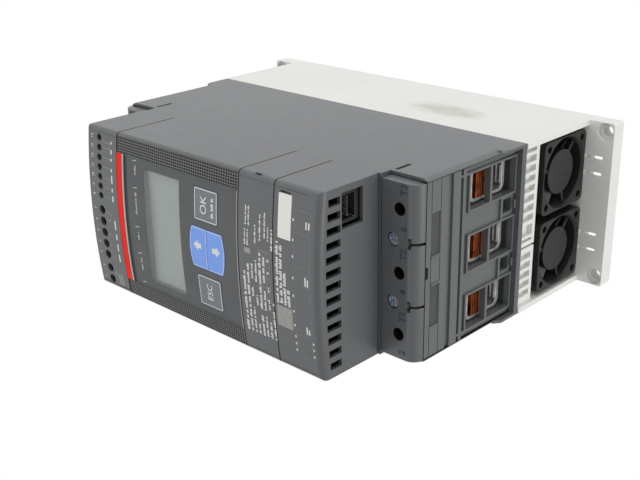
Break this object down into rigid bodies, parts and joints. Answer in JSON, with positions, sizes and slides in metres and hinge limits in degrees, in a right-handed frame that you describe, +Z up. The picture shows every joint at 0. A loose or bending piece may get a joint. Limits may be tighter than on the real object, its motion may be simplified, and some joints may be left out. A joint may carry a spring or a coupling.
{
  "type": "soft starter",
  "caption": "Panel-mounted three-phase motor soft starter with a pale finned base, cooling fans, dark terminal housing, and a curved front with display and keys.",
  "frame": {"origin": "centre of the four mounting holes on the back mounting plane", "axes": "+Z up with the line terminals at the top, -Y out of the front panel, +X to the right seen from the front"},
  "size_m": [0.09, 0.1863, 0.245],
  "materials": {
    "pale_plastic": "fine matt moulded plastic",
    "dark_plastic": "fine matt moulded plastic",
    "black_plastic": "matt moulded plastic",
    "aluminium": "extruded",
    "zinc_steel": "zinc plated",
    "copper": "bare copper",
    "circuit_board": "solder mask",
    "relay_plastic": "moulded",
    "red_plastic": "printed strip",
    "clear_window": "clear window",
    "display": "liquid crystal display",
    "grey_key": "satin key",
    "blue_key": "satin key",
    "white_plastic": "blank marker",
    "light_pipe": "clear light pipe"
  },
  "bodies": {
    "starter": {"base_housing": "pale_plastic", "heat_sink": "aluminium", "fan_frame_left": "black_plastic", "fan_frame_right": "black_plastic", "main_housing": "dark_plastic", "terminal_cover_line": "dark_plastic", "terminal_cover_load": "dark_plastic", "terminal_shroud_line": "dark_plastic", "terminal_shroud_load": "dark_plastic", "cover_screws": "zinc_steel", "busbar_l1": "copper", "busbar_l2": "copper", "busbar_l3": "copper", "busbar_t1": "copper", "busbar_t2": "copper", "busbar_t3": "copper", "thyristor_module_1": "black_plastic", "thyristor_module_2": "black_plastic", "thyristor_module_3": "black_plastic", "bypass_relay_1": "relay_plastic", "bypass_relay_2": "relay_plastic", "bypass_relay_3": "relay_plastic", "current_transformer_1": "black_plastic", "current_transformer_2": "black_plastic", "current_transformer_3": "black_plastic", "power_board": "circuit_board", "control_board": "circuit_board", "control_terminal_block": "black_plastic", "control_terminal_screws": "zinc_steel", "fieldbus_socket": "black_plastic", "terminal_strip_cover": "dark_plastic", "hmi_panel": "dark_plastic", "label_panel": "dark_plastic", "lower_front_cover": "dark_plastic", "accent_strip": "red_plastic", "display_window": "clear_window", "lcd_module": "display", "keypad_board": "circuit_board", "marker_plate": "white_plastic", "led_light_pipes": "light_pipe"},
    "fan_left": {"fan_rotor_left": "black_plastic"},
    "fan_right": {"fan_rotor_right": "black_plastic"},
    "cage_l1": {"clamp_cage_l1": "zinc_steel"},
    "cage_l2": {"clamp_cage_l2": "zinc_steel"},
    "cage_l3": {"clamp_cage_l3": "zinc_steel"},
    "cage_t1": {"clamp_cage_t1": "zinc_steel"},
    "cage_t2": {"clamp_cage_t2": "zinc_steel"},
    "cage_t3": {"clamp_cage_t3": "zinc_steel"},
    "screw_l1": {"clamp_screw_l1": "zinc_steel"},
    "screw_l2": {"clamp_screw_l2": "zinc_steel"},
    "screw_l3": {"clamp_screw_l3": "zinc_steel"},
    "screw_t1": {"clamp_screw_t1": "zinc_steel"},
    "screw_t2": {"clamp_screw_t2": "zinc_steel"},
    "screw_t3": {"clamp_screw_t3": "zinc_steel"},
    "select_key": {"key_select": "grey_key"},
    "up_key": {"key_up": "blue_key"},
    "down_key": {"key_down": "blue_key"},
    "exit_key": {"key_exit": "grey_key"}
  },
  "joints": [
    {"name": "fan_left_spin", "type": "hinge", "parent": "starter", "child": "fan_left", "pos_m": [-0.0212, -0.0289, -0.108], "axis": [0, 0, 1], "continuous": true},
    {"name": "fan_right_spin", "type": "hinge", "parent": "starter", "child": "fan_right", "pos_m": [0.0212, -0.0289, -0.108], "axis": [0, 0, 1], "continuous": true},
    {"name": "select_key_press", "type": "slide", "parent": "starter", "child": "select_key", "axis": [0, 1, 0], "range_m": [0, 0.0006], "stiffness_N_per_m": 400},
    {"name": "up_key_press", "type": "slide", "parent": "starter", "child": "up_key", "axis": [0, 1, 0], "range_m": [0, 0.0006], "stiffness_N_per_m": 400},
    {"name": "down_key_press", "type": "slide", "parent": "starter", "child": "down_key", "axis": [0, 1, 0], "range_m": [0, 0.0006], "stiffness_N_per_m": 400},
    {"name": "exit_key_press", "type": "slide", "parent": "starter", "child": "exit_key", "axis": [0, 1, 0], "range_m": [0, 0.0006], "stiffness_N_per_m": 400},
    {"name": "screw_l1_turn", "type": "hinge", "parent": "starter", "child": "screw_l1", "pos_m": [-0.0306, -0.0975, 0.0947], "axis": [0, 1, 0], "range_deg": [0, 1805]},
    {"name": "cage_l1_slide", "type": "slide", "parent": "starter", "child": "cage_l1", "axis": [0, -1, 0], "range_m": [0, 0.0075]},
    {"name": "screw_l2_turn", "type": "hinge", "parent": "starter", "child": "screw_l2", "pos_m": [0, -0.0975, 0.0947], "axis": [0, 1, 0], "range_deg": [0, 1805]},
    {"name": "cage_l2_slide", "type": "slide", "parent": "starter", "child": "cage_l2", "axis": [0, -1, 0], "range_m": [0, 0.0075]},
    {"name": "screw_l3_turn", "type": "hinge", "parent": "starter", "child": "screw_l3", "pos_m": [0.0306, -0.0975, 0.0947], "axis": [0, 1, 0], "range_deg": [0, 1805]},
    {"name": "cage_l3_slide", "type": "slide", "parent": "starter", "child": "cage_l3", "axis": [0, -1, 0], "range_m": [0, 0.0075]},
    {"name": "screw_t1_turn", "type": "hinge", "parent": "starter", "child": "screw_t1", "pos_m": [-0.0306, -0.0975, -0.0947], "axis": [0, 1, 0], "range_deg": [0, 1805]},
    {"name": "cage_t1_slide", "type": "slide", "parent": "starter", "child": "cage_t1", "axis": [0, -1, 0], "range_m": [0, 0.0075]},
    {"name": "screw_t2_turn", "type": "hinge", "parent": "starter", "child": "screw_t2", "pos_m": [0, -0.0975, -0.0947], "axis": [0, 1, 0], "range_deg": [0, 1805]},
    {"name": "cage_t2_slide", "type": "slide", "parent": "starter", "child": "cage_t2", "axis": [0, -1, 0], "range_m": [0, 0.0075]},
    {"name": "screw_t3_turn", "type": "hinge", "parent": "starter", "child": "screw_t3", "pos_m": [0.0306, -0.0975, -0.0947], "axis": [0, 1, 0], "range_deg": [0, 1805]},
    {"name": "cage_t3_slide", "type": "slide", "parent": "starter", "child": "cage_t3", "axis": [0, -1, 0], "range_m": [0, 0.0075]}
  ],
  "couplings": [
    {"joint": "screw_l1_turn", "follows": "cage_l1_slide", "rad_per_m": 4188.8},
    {"joint": "screw_l2_turn", "follows": "cage_l2_slide", "rad_per_m": 4188.8},
    {"joint": "screw_l3_turn", "follows": "cage_l3_slide", "rad_per_m": 4188.8},
    {"joint": "screw_t1_turn", "follows": "cage_t1_slide", "rad_per_m": 4188.8},
    {"joint": "screw_t2_turn", "follows": "cage_t2_slide", "rad_per_m": 4188.8},
    {"joint": "screw_t3_turn", "follows": "cage_t3_slide", "rad_per_m": 4188.8}
  ]
}
